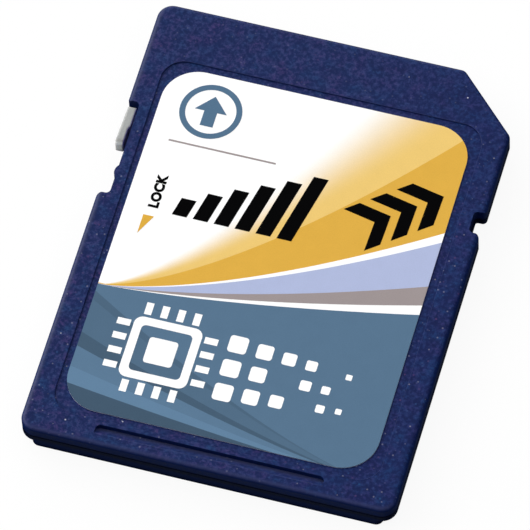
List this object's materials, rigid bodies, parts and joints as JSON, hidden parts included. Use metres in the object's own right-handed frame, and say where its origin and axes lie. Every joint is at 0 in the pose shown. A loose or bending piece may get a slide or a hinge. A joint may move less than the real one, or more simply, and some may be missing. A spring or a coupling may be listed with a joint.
{
  "type": "memory card",
  "caption": "Flat moulded memory card with a cut corner, a sliding lock tab, a finger-nail catch, a recessed label and a comb of contact windows on its back.",
  "frame": {"origin": "centre of the back face, on the surface that the card lies on", "axes": "+Z out of the label side, +Y towards the contact end, +X towards the cut corner's side"},
  "size_m": [0.024, 0.032, 0.0021],
  "materials": {
    "shell_plastic": "fine matte",
    "slider_plastic": "satin",
    "label_print": "printed, satin",
    "board_laminate": "lacquered",
    "contact_gold": "gold plated",
    "package_epoxy": "matte",
    "tinned_leads": "tinned",
    "capacitor_ceramic": "fired",
    "resistor_ceramic": "glazed top"
  },
  "bodies": {
    "card": {"front_cover": "shell_plastic", "back_cover": "shell_plastic", "label": "label_print", "circuit_board": "board_laminate", "controller_chip": "package_epoxy", "flash_chip": "package_epoxy", "flash_leads": "tinned_leads", "contact_pad_1": "contact_gold", "contact_pad_2": "contact_gold", "contact_pad_3": "contact_gold", "contact_pad_4": "contact_gold", "contact_pad_5": "contact_gold", "contact_pad_6": "contact_gold", "contact_pad_7": "contact_gold", "contact_pad_8": "contact_gold", "contact_pad_9": "contact_gold", "capacitor_1": "capacitor_ceramic", "capacitor_2": "capacitor_ceramic", "capacitor_3": "capacitor_ceramic", "capacitor_4": "capacitor_ceramic", "resistor_1": "resistor_ceramic", "resistor_2": "resistor_ceramic", "resistor_3": "resistor_ceramic", "resistor_4": "resistor_ceramic"},
    "lock_slider": {"lock_slider": "slider_plastic"}
  },
  "joints": [
    {"name": "lock_slide", "type": "slide", "parent": "card", "child": "lock_slider", "axis": [0, -1, 0], "range_m": [0, 0.00305]}
  ]
}
